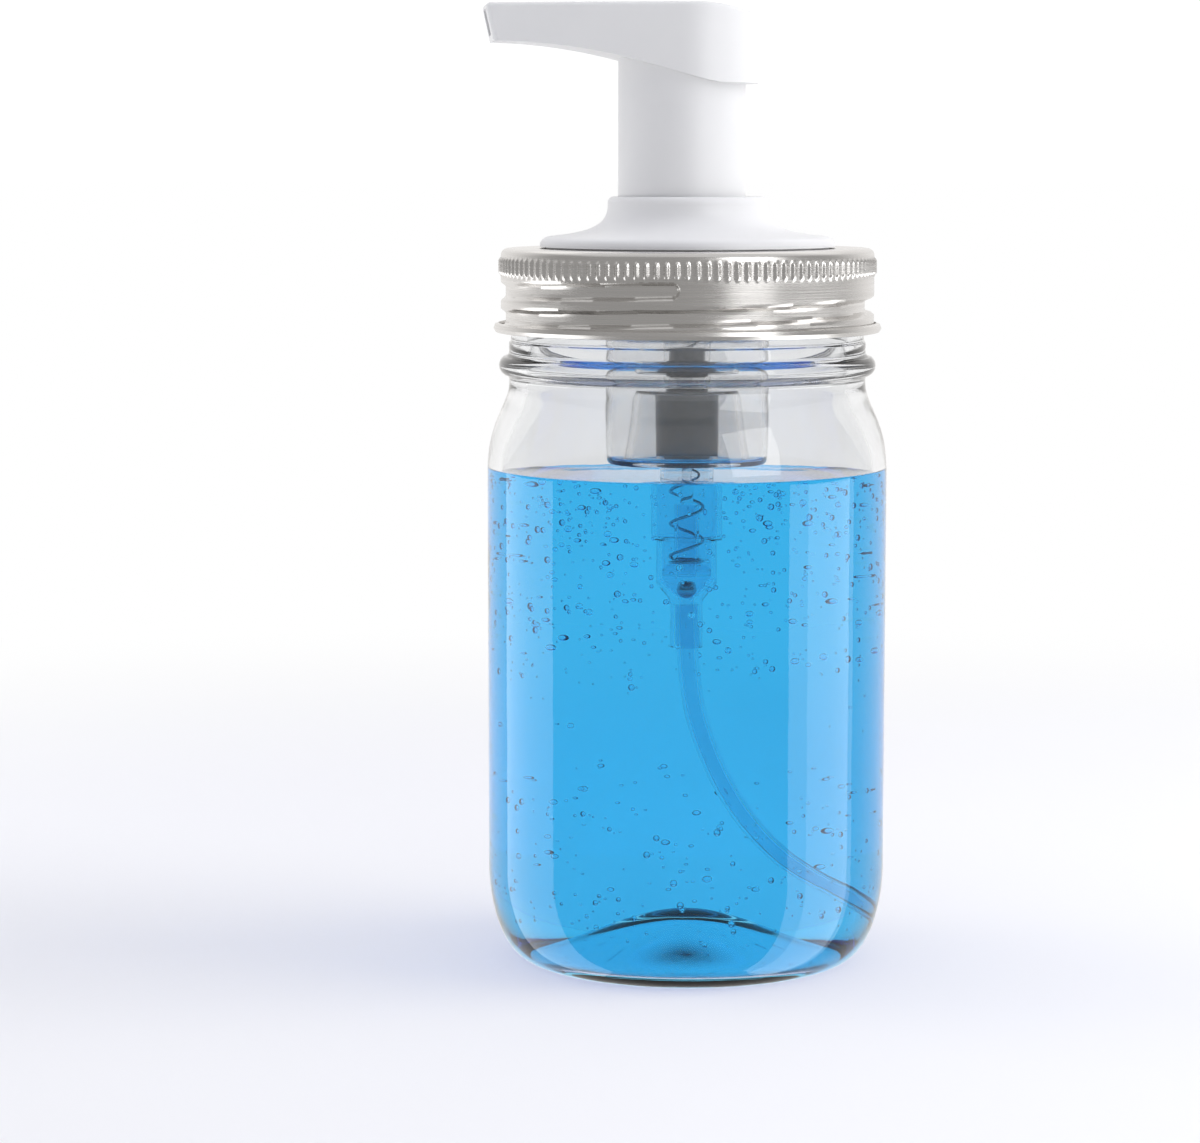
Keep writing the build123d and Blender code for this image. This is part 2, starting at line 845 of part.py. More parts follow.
with BuildPart() as head_shell:
    add(head_block(0))
    spout_centre = head_top - spout_height / 2
    tip_edges = head_shell.edges().filter_by(
        lambda e: e.length < spout_height + head_edge and abs(e.center().Z - spout_centre) < head_edge
    )
    fillet(tip_edges, radius=spout_corner)
    upper_edges = head_shell.edges().filter_by(lambda e: e.center().Z > spout_centre)
    fillet(upper_edges, radius=head_edge)
    add(head_block(head_wall), mode=Mode.SUBTRACT)
    with BuildSketch(head_plane.offset(head_low)):
        with Locations((-skirt_offset, 0)):
            Circle(skirt_radius + seat_gap)
    extrude(amount=head_height - spout_height + 2 * head_wall, mode=Mode.SUBTRACT)
    window_plane = Plane(
        origin=(0, 0, spout_centre), x_dir=head_plane.y_dir, z_dir=-head_axis
    )
    with BuildSketch(window_plane.offset(channel_end)):
        RectangleRounded(window_width, window_height, window_corner)
    extrude(amount=spout_reach, mode=Mode.SUBTRACT)
    with Locations((0, 0, head_top + dish_radius - dish_depth)):
        Sphere(dish_radius, mode=Mode.SUBTRACT)
save(head_shell, "head_shell")


# Soap: fills the jar to its level, round the cylinder and the dip tube
with BuildPart() as soap:
    with BuildSketch(Plane.XZ):
        with BuildLine():
            inner = jar_radius - jar_wall - touch_gap
            throat = neck_bore - touch_gap
            jar_floor_line(touch_gap)
            Line((inner, floor_height + inner_heel_height), (inner, shoulder_low - shoulder_lag))
            wall_slope(inner, shoulder_low - shoulder_lag, throat, neck_top - shoulder_lag)
            Polyline(
                (throat, neck_top - shoulder_lag),
                (0, neck_top - shoulder_lag),
                (0, floor_height + touch_gap + floor_rise),
            )
        make_face()
        with Locations((0, soap_level)):
            Rectangle(jar_radius, jar_height, align=(Align.MIN, Align.MIN), mode=Mode.SUBTRACT)
        with BuildLine():
            Polyline(
                (liquid_radius + soap_gap, jar_height),
                (liquid_radius + soap_gap, liquid_step - soap_gap),
                (lower_radius + soap_gap, liquid_step - soap_gap),
                (lower_radius + soap_gap, lower_end - soap_gap),
                (socket_radius + soap_gap, socket_top - soap_gap),
                (socket_radius + soap_gap, socket_end - soap_gap),
                (0, socket_end - soap_gap),
                (0, jar_height),
                close=True,
            )
        make_face(mode=Mode.SUBTRACT)
    revolve(axis=Axis.Z)
    add(tube_along(tube_radius + soap_gap, 0)[0].part, mode=Mode.SUBTRACT)
save(soap, "soap")
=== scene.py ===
import math

import bpy
import numpy as np
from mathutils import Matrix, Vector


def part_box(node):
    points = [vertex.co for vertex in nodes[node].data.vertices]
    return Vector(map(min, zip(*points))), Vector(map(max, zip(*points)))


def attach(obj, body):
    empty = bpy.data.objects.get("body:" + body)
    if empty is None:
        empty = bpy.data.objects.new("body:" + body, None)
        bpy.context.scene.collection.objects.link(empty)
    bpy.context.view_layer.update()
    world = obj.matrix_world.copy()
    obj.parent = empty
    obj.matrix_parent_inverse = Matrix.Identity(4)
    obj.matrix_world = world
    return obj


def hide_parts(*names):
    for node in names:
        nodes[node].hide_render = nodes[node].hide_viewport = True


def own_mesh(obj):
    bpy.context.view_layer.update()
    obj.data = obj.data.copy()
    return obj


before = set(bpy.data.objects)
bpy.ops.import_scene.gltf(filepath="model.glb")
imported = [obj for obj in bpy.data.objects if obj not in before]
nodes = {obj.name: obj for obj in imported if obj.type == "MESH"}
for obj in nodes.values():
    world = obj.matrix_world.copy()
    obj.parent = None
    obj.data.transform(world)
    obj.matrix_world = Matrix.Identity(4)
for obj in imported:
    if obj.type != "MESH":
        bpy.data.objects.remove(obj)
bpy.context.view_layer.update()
mm = 0.001
tau = 2 * math.pi


# outlines are in millimetres, as arrays of (radius, height)
def line(start, end, count=2):
    # evenly spaced points from start to end
    return np.linspace(start, end, count)


def ellipseArc(centre, reach, rise, start, end, count=16):
    # centre + (reach cos a, rise sin a) while a goes from start to end degrees
    a = np.radians(np.linspace(start, end, count))
    return np.stack([centre[0] + reach * np.cos(a), centre[1] + rise * np.sin(a)], 1)


def bezier(a, b, c, d, count=20):
    # cubic curve: (1-t)^3 a + 3t(1-t)^2 b + 3t^2(1-t) c + t^3 d
    t = np.linspace(0, 1, count)[:, None]
    a, b, c, d = (np.array(p, float) for p in (a, b, c, d))
    return (1 - t) ** 3 * a + 3 * t * (1 - t) ** 2 * b + 3 * t**2 * (1 - t) * c + t**3 * d


def joined(*runs):
    # the runs one after another, less the points that repeat
    points = np.concatenate(runs)
    keep = np.r_[True, np.linalg.norm(np.diff(points, axis=0), axis=1) > 1e-4]
    return points[keep]


def softened(corners, count=5):
    # a straight-sided outline of (radius, height, roundness); each corner gives way to a
    # quadratic curve that leaves its two sides at the roundness
    points = np.array(corners, float)
    here, roundness = points[:, :2], points[:, 2:]
    before, after = np.roll(here, 1, 0), np.roll(here, -1, 0)
    toBefore, toAfter = before - here, after - here
    lengthBefore = np.linalg.norm(toBefore, axis=1, keepdims=True)
    lengthAfter = np.linalg.norm(toAfter, axis=1, keepdims=True)
    cut = np.minimum(roundness, 0.45 * np.minimum(lengthBefore, lengthAfter))
    start = here + toBefore / np.maximum(lengthBefore, 1e-9) * cut
    end = here + toAfter / np.maximum(lengthAfter, 1e-9) * cut
    t = np.linspace(0, 1, count)[None, :, None]
    curve = (1 - t) ** 2 * start[:, None] + 2 * t * (1 - t) * here[:, None] + t**2 * end[:, None]
    return joined(curve.reshape(-1, 2))


def meshPiece(name, points, faces, finishes, faceSlots=None, creaseDegrees=40):
    mesh = bpy.data.meshes.new(name)
    mesh.from_pydata(points.tolist(), [], [f for group in faces for f in group.tolist()])
    mesh.polygons.foreach_set("use_smooth", np.ones(len(mesh.polygons), bool))
    for finish in finishes:
        mesh.materials.append(finish)
    if faceSlots is not None:
        mesh.polygons.foreach_set("material_index", faceSlots.astype(np.int32))
    mesh.set_sharp_from_angle(angle=math.radians(creaseDegrees))
    mesh.update()
    piece = bpy.data.objects.new(name, mesh)
    bpy.context.scene.collection.objects.link(piece)
    return piece


def gridFaces(rows, columns, closedRows=False):
    # quads between each row and the next, and round the columns back to the first
    index = np.arange(rows * columns).reshape(rows, columns)
    upper = np.roll(index, -1, 0) if closedRows else index[1:]
    lower = index if closedRows else index[:-1]
    quads = np.stack([lower, np.roll(lower, -1, 1), np.roll(upper, -1, 1), upper], -1)
    return quads.reshape(-1, 4)


def turnedPiece(name, outline, finishes, steps=192, closed=False, slotOfHeight=None, bulge=None):
    # the outline carried round the Z axis: (r cos t, r sin t, z), r and z being the outline's,
    # with bulge(t, r, z) added to r; an outline that starts or ends on the axis closes in one point
    poleFirst, poleLast = outline[0, 0] < 1e-6, outline[-1, 0] < 1e-6
    body = outline[int(poleFirst):len(outline) - int(poleLast)]
    angle = np.linspace(0, tau, steps, endpoint=False)[None]
    radius = np.repeat(body[:, :1], steps, 1)
    height = np.repeat(body[:, 1:], steps, 1)
    if bulge is not None:
        radius = radius + bulge(angle, radius, height)
    points = np.stack([radius * np.cos(angle), radius * np.sin(angle), height], -1).reshape(-1, 3)
    quads = gridFaces(len(body), steps, closed)
    faces = [quads]
    ring = np.arange(steps)
    if poleFirst:
        points = np.concatenate([points, [[0, 0, outline[0, 1]]]])
        faces.append(np.stack([np.full(steps, len(points) - 1), np.roll(ring, -1), ring], 1))
    if poleLast:
        points = np.concatenate([points, [[0, 0, outline[-1, 1]]]])
        last = ring + (len(body) - 1) * steps
        faces.append(np.stack([np.full(steps, len(points) - 1), last, np.roll(last, -1)], 1))
    slots = None
    if slotOfHeight is not None:
        heights = [points[f][:, :, 2].mean(1) for f in faces]
        radii = [np.hypot(points[f][:, :, 0].mean(1), points[f][:, :, 1].mean(1)) for f in faces]
        order = [np.arange(len(f)) // steps for f in faces]
        slots = np.concatenate([slotOfHeight(h, r, o) for h, r, o in zip(heights, radii, order)])
    return meshPiece(name, points * mm, faces, finishes, slots)


def tubePiece(name, route, radius, finishes, sides=16, side=(0, 1.0, 0), bore=None):
    # circles of the radius carried along the route, at right angles to it; with a bore the
    # section goes back inside, and without one the ends are closed by a point
    tangent = np.gradient(route, axis=0)
    tangent /= np.linalg.norm(tangent, axis=1, keepdims=True)
    first = side - (tangent * side).sum(1, keepdims=True) * tangent
    first /= np.linalg.norm(first, axis=1, keepdims=True)
    second = np.cross(tangent, first)
    a = np.linspace(0, tau, sides, endpoint=False)
    ring = np.cos(a)[None, :, None] * first[:, None] + np.sin(a)[None, :, None] * second[:, None]
    points = route[:, None] + radius * ring
    if bore:
        points = np.concatenate([points, (route[:, None] + bore * ring)[::-1]])
        faces = [gridFaces(len(points), sides, True)]
        points = points.reshape(-1, 3)
    else:
        count = len(points)
        points = np.concatenate([points.reshape(-1, 3), route[:1], route[-1:]])
        edge = np.arange(sides)
        last = edge + (count - 1) * sides
        faces = [gridFaces(count, sides),
                 np.stack([np.full(sides, len(points) - 2), np.roll(edge, -1), edge], 1),
                 np.stack([np.full(sides, len(points) - 1), last, np.roll(last, -1)], 1)]
    return meshPiece(name, points * mm, faces, finishes)


def addNode(tree, kind, inputs=None, **settings):
    made = tree.nodes.new(kind)
    for key, value in settings.items():
        setattr(made, key, value)
    for key, value in (inputs or {}).items():
        if isinstance(value, bpy.types.NodeSocket):
            tree.links.new(value, made.inputs[key])
        else:
            made.inputs[key].default_value = value
    return made


def noise(tree, scale, stretch=(1, 1, 1), detail=3.0):
    # noise over the object's own coordinates, in cells per metre
    where = addNode(tree, "ShaderNodeTexCoord").outputs["Object"]
    placed = addNode(tree, "ShaderNodeMapping", {"Vector": where, "Scale": stretch}).outputs[0]
    return addNode(tree, "ShaderNodeTexNoise",
                   {"Vector": placed, "Scale": scale, "Detail": detail}).outputs[0]


def ranged(tree, value, low, high):
    return addNode(tree, "ShaderNodeMapRange", {
        "Value": value, "From Min": 0.3, "From Max": 0.7, "To Min": low, "To Max": high}).outputs[0]


def tones(tree, value, low, high):
    ramp = addNode(tree, "ShaderNodeValToRGB", {"Fac": value})
    ramp.color_ramp.elements[0].position, ramp.color_ramp.elements[0].color = 0.3, (*low, 1)
    ramp.color_ramp.elements[1].position, ramp.color_ramp.elements[1].color = 0.7, (*high, 1)
    return ramp.outputs[0]


def finishNodes(name, recipe):
    # one Principled shader: tones and roughness from a soft noise, a bump from a finer one
    made = bpy.data.materials.new(name)
    made.use_nodes = True
    tree = made.node_tree
    tree.nodes.clear()
    soft = noise(tree, recipe["patch"], recipe.get("stretch", (1, 1, 1)))
    fine = noise(tree, recipe["grain"], recipe.get("grainStretch", (1, 1, 1)))
    bump = addNode(tree, "ShaderNodeBump", {
        "Height": fine, "Distance": recipe["bumpDepth"], "Strength": recipe["bumpStrength"]})
    shader = addNode(tree, "ShaderNodeBsdfPrincipled", {
        "Base Color": tones(tree, soft, *recipe["tones"]),
        "Roughness": ranged(tree, fine, *recipe["roughness"]),
        "Normal": bump.outputs[0]})
    for socket, value in recipe.get("sockets", {}).items():
        shader.inputs[socket].default_value = value
    return made, tree, shader


def solidFinish(name, **recipe):
    made, tree, shader = finishNodes(name, recipe)
    output = addNode(tree, "ShaderNodeOutputMaterial")
    tree.links.new(shader.outputs[0], output.inputs["Surface"])
    return made


def clearFinish(name, shade, **recipe):
    # a see-through finish; lamps and soft light pass it in the given shade
    made, tree, shader = finishNodes(name, recipe)
    paths = addNode(tree, "ShaderNodeLightPath")
    passing = addNode(tree, "ShaderNodeBsdfTransparent", {"Color": (*shade, 1)})
    lamps = addNode(tree, "ShaderNodeMixShader", {
        0: paths.outputs["Is Shadow Ray"], 1: shader.outputs[0], 2: passing.outputs[0]})
    softLight = addNode(tree, "ShaderNodeMixShader", {
        0: paths.outputs["Is Diffuse Ray"], 1: lamps.outputs[0], 2: passing.outputs[0]})
    output = addNode(tree, "ShaderNodeOutputMaterial")
    tree.links.new(softLight.outputs[0], output.inputs["Surface"])
    return made


plasticGrain = dict(patch=60, grain=2600, bumpDepth=0.00002, bumpStrength=0.25)
moulded = dict(patch=90, grain=900, bumpDepth=0.00002, bumpStrength=0.1)
steelLines = dict(patch=30, stretch=(1, 1, 40), grain=40, grainStretch=(1, 1, 90),
                  bumpDepth=0.00003, bumpStrength=0.25)

whitePlastic = solidFinish("whitePlastic", **plasticGrain, tones=((0.80, 0.80, 0.805), (0.83, 0.83, 0.83)),
                           roughness=(0.36, 0.46), sockets={"IOR": 1.49})
naturalPlastic = solidFinish("naturalPlastic", **plasticGrain,
                             tones=((0.74, 0.75, 0.76), (0.80, 0.80, 0.80)), roughness=(0.34, 0.44),
                             sockets={"IOR": 1.5, "Subsurface Weight": 0.3})
greyPlastic = solidFinish("greyPlastic", **plasticGrain, tones=((0.045, 0.047, 0.05), (0.07, 0.072, 0.075)),
                          roughness=(0.4, 0.5), sockets={"IOR": 1.5})
sealRubber = solidFinish("sealRubber", **plasticGrain, tones=((0.60, 0.60, 0.58), (0.68, 0.68, 0.66)),
                         roughness=(0.55, 0.7), sockets={"IOR": 1.45})
nylonMesh = solidFinish("nylonMesh", **plasticGrain, tones=((0.78, 0.78, 0.76), (0.86, 0.86, 0.84)),
                        roughness=(0.4, 0.5), sockets={"IOR": 1.5})
satinSteel = solidFinish("satinSteel", **steelLines, tones=((0.68, 0.665, 0.65), (0.77, 0.755, 0.74)),
                         roughness=(0.22, 0.30), sockets={"Metallic": 1.0})
springSteel = solidFinish("springSteel", patch=300, grain=3000, bumpDepth=0.00001, bumpStrength=0.2,
                          tones=((0.50, 0.50, 0.52), (0.62, 0.62, 0.64)), roughness=(0.18, 0.28),
                          sockets={"Metallic": 1.0})

glassWaves = dict(patch=40, grain=55, bumpDepth=0.00025, bumpStrength=0.25)
clearGlass = clearFinish("clearGlass", (0.93, 0.94, 0.97), **glassWaves,
                         tones=((0.87, 0.875, 0.88), (0.91, 0.915, 0.92)), roughness=(0.0, 0.004),
                         sockets={"IOR": 1.5, "Transmission Weight": 1.0})
wetGlass = clearFinish("wetGlass", (0.97, 0.97, 0.98), **glassWaves,
                       tones=((0.97, 0.98, 0.98), (0.99, 0.995, 0.995)), roughness=(0.0, 0.004),
                       sockets={"IOR": 1.128, "Transmission Weight": 1.0})
soapTint = ((0.032, 0.500, 0.930), (0.040, 0.520, 0.950))
soapWall = clearFinish("soapWall", (0.72, 0.78, 0.90), patch=30, grain=60, bumpDepth=0.0001,
                       bumpStrength=0.0, tones=soapTint, roughness=(0.0, 0.002),
                       sockets={"IOR": 1.0, "Transmission Weight": 1.0})
soapSurface = clearFinish("soapSurface", (0.80, 0.84, 0.92), patch=30, grain=60, bumpDepth=0.0002,
                          bumpStrength=0.1, tones=soapTint, roughness=(0.0, 0.004),
                          sockets={"IOR": 1.33, "Transmission Weight": 1.0})
# painted light: the soap over the jar's floor is given a paler blue than the rest of the soap
paintedLightSoapBed = clearFinish("paintedLightSoapBed", (0.80, 0.86, 0.94), patch=30, grain=60, bumpDepth=0.0001,
                      bumpStrength=0.0, tones=((0.50, 0.82, 0.93), (0.54, 0.84, 0.94)),
                      roughness=(0.0, 0.002), sockets={"IOR": 1.0, "Transmission Weight": 1.0})
clearPlastic = clearFinish("clearPlastic", (0.94, 0.945, 0.95), **moulded,
                           tones=((0.88, 0.88, 0.88), (0.92, 0.92, 0.92)), roughness=(0.03, 0.07),
                           sockets={"IOR": 1.49, "Transmission Weight": 1.0})
wetPlastic = clearFinish("wetPlastic", (0.90, 0.93, 0.96), **moulded,
                         tones=((0.78, 0.87, 0.93), (0.83, 0.91, 0.95)), roughness=(0.01, 0.03),
                         sockets={"IOR": 1.16, "Transmission Weight": 1.0})
print("finishes made")

finishOf = {
    "jar_gasket": sealRubber, "insert_plate": whitePlastic, "cylinder_washer": sealRubber,
    "pump_collar": whitePlastic, "spring_seat": wetPlastic, "inlet_ball": springSteel,
    "air_piston": naturalPlastic, "air_valve_ring": sealRubber, "head_shell": whitePlastic,
    "stem_skirt": whitePlastic, "nozzle_insert": whitePlastic, "mixing_chamber": naturalPlastic,
    "lower_mesh": nylonMesh, "mesh_holder": naturalPlastic, "upper_mesh": nylonMesh,
    "piston_stem": clearPlastic, "liquid_piston": greyPlastic, "outlet_rod": clearPlastic,
    "glass_jar": clearGlass, "soap": soapWall, "screw_band": satinSteel, "pump_cylinder": clearPlastic,
    "dip_tube": wetPlastic, "return_spring": springSteel,
}
for nodeName, finish in finishOf.items():
    if not nodes[nodeName].material_slots:
        nodes[nodeName].data.materials.append(finish)
    for holder in nodes[nodeName].material_slots:
        holder.material = finish


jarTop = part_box("glass_jar")[1].z / mm
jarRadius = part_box("glass_jar")[1].x / mm
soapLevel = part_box("soap")[1].z / mm
jar = dict(wall=2.7, heelReach=7.9, heelHeight=18.5, footWidth=2.2, footSlope=2.4, footRise=0.8,
           pushUp=7.2, pushUpRadius=24.5, innerReach=9.0, innerHeight=16.2, floor=2.9, floorRise=8.0,
           humpRadius=26.5,
           neck=34.45, bore=31.0, shoulderDrop=22.1, shoulderLength=17.5, innerLag=1.3,
           lowPull=0.6, highPull=0.25, beadDrop=18.8, beadReach=1.95, beadHalf=2.2,
           finishRadius=34.1, finishDrop=14.4, rimRound=0.9,
           threadDrop=9.8, threadReach=1.3, threadHalf=1.3, pitch=5.08, threadTurns=1.25)
neckTop = jarTop - jar["shoulderDrop"]
shoulderLow = neckTop - jar["shoulderLength"]


def hump(radius, low, rise, count=24):
    # a round swelling in the middle that runs out flat at the radius
    return bezier((0, low + rise), (radius / 3, low + rise), (radius * 2 / 3, low), (radius, low), count)


def jarInside(gap=0.0):
    # floor with a hump in the middle, then the elliptical heel up to the wall
    inner = jarRadius - jar["wall"] - gap
    flat = inner - jar["innerReach"] + gap
    floor = jar["floor"] + gap
    heel = jar["floor"] + jar["innerHeight"]
    return joined(
        hump(jar["humpRadius"], floor, jar["floorRise"]), line((jar["humpRadius"], floor), (flat, floor), 5),
        ellipseArc((flat, heel), jar["innerReach"] - gap, jar["innerHeight"] - gap, 270, 360, 24))


def slope(radiusLow, radiusHigh, low, high, count=28):
    # the S-shaped shoulder between two upright walls
    return bezier((radiusLow, low), (radiusLow, low + jar["lowPull"] * jar["shoulderLength"]),
                  (radiusHigh, high - jar["highPull"] * jar["shoulderLength"]), (radiusHigh, high), count)


def makeJar():
    footOuter = jarRadius - jar["heelReach"]
    footInner = footOuter - jar["footWidth"]
    slopeInner = footInner - jar["footSlope"]
    beadZ = jarTop - jar["beadDrop"]
    neck, finish = jar["neck"], jar["finishRadius"]
    rimRound = jar["rimRound"]
    finishLow = jarTop - jar["finishDrop"]
    outside = joined(
        hump(jar["pushUpRadius"], jar["footRise"], jar["pushUp"] - jar["footRise"]),
        line((jar["pushUpRadius"], jar["footRise"]), (slopeInner, jar["footRise"]), 4),
        bezier((slopeInner, jar["footRise"]), (slopeInner + 1, jar["footRise"]),
               (footInner - 0.8, 0), (footInner, 0), 6),
        ellipseArc((footOuter, jar["heelHeight"]), jar["heelReach"], jar["heelHeight"], 270, 360, 30),
        line((jarRadius, jar["heelHeight"]), (jarRadius, shoulderLow), 12),
        slope(jarRadius, neck, shoulderLow, neckTop),
        line((neck, neckTop), (neck, beadZ - jar["beadHalf"] - 0.5), 3),
        bezier((neck, beadZ - jar["beadHalf"] - 0.5), (neck, beadZ - jar["beadHalf"]),
               (neck + 0.25, beadZ - jar["beadHalf"] + 0.1), (neck + 0.6, beadZ - 1.75), 5),
        ellipseArc((neck, beadZ), jar["beadReach"], 2.0, -60, 60, 16),
        bezier((neck + 0.6, beadZ + 1.75), (neck + 0.25, beadZ + jar["beadHalf"] - 0.1),
               (neck, beadZ + jar["beadHalf"]), (neck, beadZ + jar["beadHalf"] + 0.5), 5),
        bezier((neck, finishLow), (neck, finishLow + 0.3),
               (finish, finishLow + 0.2), (finish, finishLow + 0.5), 4),
        line((finish, finishLow + 0.5), (finish, jarTop - rimRound), 44),
        ellipseArc((finish - rimRound, jarTop - rimRound), rimRound, rimRound, 0, 90, 6))
    innerTop = neckTop - jar["innerLag"]
    innerLow = shoulderLow - jar["innerLag"]
    inside = jarInside()
    wall = inside[-1, 0]
    upInside = joined(
        inside, line(inside[-1], (wall, innerLow), 8),
        slope(wall, jar["bore"], innerLow, innerTop),
        line((jar["bore"], innerTop), (jar["bore"], jarTop - rimRound), 6),
        ellipseArc((jar["bore"] + rimRound, jarTop - rimRound), rimRound, rimRound, 180, 90, 6))
    # the wet stretch ends exactly at the soap's surface
    nearest = np.argmin(np.abs(upInside[:, 1] - soapLevel))
    nearby = upInside[nearest - 2:]
    upInside[nearest] = np.interp(soapLevel, nearby[:, 1], nearby[:, 0]), soapLevel
    outsideRows = len(outside) - 1

    def thread(angle, radius, height):
        # a ridge that climbs one pitch a turn, faded out at both ends
        start = jarTop - jar["threadDrop"]
        turns = np.arange(0, 2)[:, None, None]
        along = angle[None] / tau + turns
        offset = height[None] - start - jar["pitch"] * along
        ends = np.clip(along / 0.06, 0, 1) * np.clip((jar["threadTurns"] - along) / 0.06, 0, 1)
        ridge = np.clip(1.35 * (1 - np.abs(offset) / jar["threadHalf"]), 0, 1)
        reach = (jar["threadReach"] * ridge * ends).max(0)
        return np.where(radius > finish - 0.2, reach, 0) * (height > finishLow)

    def slotOf(height, radius, row):
        wet = (row > outsideRows) & (height < soapLevel)
        pole = (radius < 2) & (height > jar["pushUp"] + 1)
        return (wet | pole).astype(int)

    outline = joined(outside, upInside[::-1])
    piece = turnedPiece("glassJar", outline, [clearGlass, wetGlass], slotOfHeight=slotOf, bulge=thread)
    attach(piece, "jar")
    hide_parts("glass_jar")


makeJar()
print("jar made")


soapFacts = dict(gap=0.02, meniscus=0.7, meniscusReach=8)


def makeSoap():
    flat = jarRadius - jar["wall"] - jar["innerReach"]
    inside = jarInside(soapFacts["gap"])
    wall = inside[-1, 0]
    innerLow = shoulderLow - jar["innerLag"]
    shoulder = slope(wall, jar["bore"], innerLow, neckTop - jar["innerLag"])
    wetShoulder = shoulder[shoulder[:, 1] < soapLevel - 0.2]
    edgeR = np.interp(soapLevel, shoulder[:, 1], shoulder[:, 0])
    away = np.linspace(0, 1, 12)[:, None]
    # the surface leaves the wall high and sinks by the meniscus times 1 - exp(-4x) over its reach
    sunk = soapFacts["meniscus"] * (1 - np.exp(-4 * away))
    top = np.concatenate([edgeR - soapFacts["meniscusReach"] * away, soapLevel - sunk], 1)
    sides = joined(inside, line(inside[-1], (wall, innerLow), 6), wetShoulder)
    outline = joined(sides, top, line(top[-1], (0, top[-1, 1]), 8))
    wallRows = len(sides) - 1

    def slotOf(height, radius, row):
        surface = (row >= wallRows) | ((height > soapLevel - 5) & (radius < 5))
        # the soap over the jar's floor takes the paler blue of painted light
        paintedLightBed = (radius < flat + 1) & (height < soapLevel / 2)
        return np.where(paintedLightBed, 2, surface.astype(int))

    piece = turnedPiece("soapBody", outline, [soapWall, soapSurface, paintedLightSoapBed], slotOfHeight=slotOf)
    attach(piece, "jar")
    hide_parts("soap")


makeSoap()

bubbles = dict(upper=1000, lower=330, deep=90, small=0.20, large=0.72, wallGap=0.12, seed=11)


def makeBubbles():
    rng = np.random.default_rng(bubbles["seed"])
    inner = jarRadius - jar["wall"]
    count = bubbles["upper"] + bubbles["lower"] + bubbles["deep"]
    size = bubbles["small"] + (bubbles["large"] - bubbles["small"]) * rng.random(count) ** 3.0
    angle = rng.random(count) * tau
    fall = rng.random(count)
    height = np.concatenate([
        soapLevel - 2 - 38 * fall[:bubbles["upper"]] ** 1.7,
        9 + 26 * fall[bubbles["upper"]:bubbles["upper"] + bubbles["lower"]] ** 1.3,
        12 + 70 * fall[bubbles["upper"] + bubbles["lower"]:]])
    depth = np.where(rng.random(count) < 0.6, 0, 20 * rng.random(count) ** 1.5)
    # the wall's inner radius at each height: the heel narrows as an ellipse
    heel = jar["floor"] + jar["innerHeight"]
    low = np.clip((heel - height) / jar["innerHeight"], 0, 0.999)
    wall = inner - jar["innerReach"] * (1 - np.sqrt(1 - low**2))
    radius = wall - size - bubbles["wallGap"] - depth
    centre = np.stack([radius * np.cos(angle), radius * np.sin(angle), height], 1)
    rows, sides = 5, 8
    tilt = np.linspace(-0.5, 0.5, rows + 2)[1:-1, None] * math.pi
    turn = np.linspace(0, tau, sides, endpoint=False)[None]
    ball = np.stack([np.cos(tilt) * np.cos(turn), np.cos(tilt) * np.sin(turn),
                     np.sin(tilt) + 0 * turn], -1).reshape(-1, 3)
    ball = np.concatenate([ball, [[0, 0, -1], [0, 0, 1]]])
    edge = np.arange(sides)
    last = edge + (rows - 1) * sides
    quads = gridFaces(rows, sides)
    caps = np.concatenate([
        np.stack([np.full(sides, len(ball) - 2), np.roll(edge, -1), edge], 1),
        np.stack([np.full(sides, len(ball) - 1), last, np.roll(last, -1)], 1)])
    points = (centre[:, None] + size[:, None, None] * ball[None]).reshape(-1, 3)
    shift = (np.arange(count) * len(ball))[:, None, None]
    faces = [(quads[None] + shift).reshape(-1, 4), (caps[None] + shift).reshape(-1, 3)]
    piece = meshPiece("soapBubbles", points * mm, faces, [airBubble], creaseDegrees=180)
    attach(piece, "jar")


def bubbleFinish():
    # air in soap: light bends the other way, so the index is one over the soap's
    made = bpy.data.materials.new("airBubble")
    made.use_nodes = True
    tree = made.node_tree
    tree.nodes.clear()
    film = tones(tree, noise(tree, 900), (0.90, 0.96, 1.0), (1, 1, 1))
    shader = addNode(tree, "ShaderNodeBsdfGlass", {"Color": film, "Roughness": 0.0, "IOR": 0.75})
    paths = addNode(tree, "ShaderNodeLightPath")
    passing = addNode(tree, "ShaderNodeBsdfTransparent")
    lamps = addNode(tree, "ShaderNodeMixShader", {
        0: paths.outputs["Is Shadow Ray"], 1: shader.outputs[0], 2: passing.outputs[0]})
    output = addNode(tree, "ShaderNodeOutputMaterial")
    tree.links.new(lamps.outputs[0], output.inputs["Surface"])
    return made


airBubble = bubbleFinish()
makeBubbles()
print("soap made")


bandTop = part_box("screw_band")[1].z / mm
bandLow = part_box("screw_band")[0].z / mm
band = dict(opening=27.6, wall=36.0, sheet=0.5, corner=1.1, curl=0.72,
            knurls=120, knurlTop=1.7, knurlLength=3.5, knurlHeight=0.46, knurlShare=0.64,
            grooveDepth=0.95, grooveDeeper=0.85, grooveHalf=1.8, grooveFlat=0.5, grooveStart=-205.0,
            grooveEnd=264.0, pitch=5.08, grooveLevel=127.5)


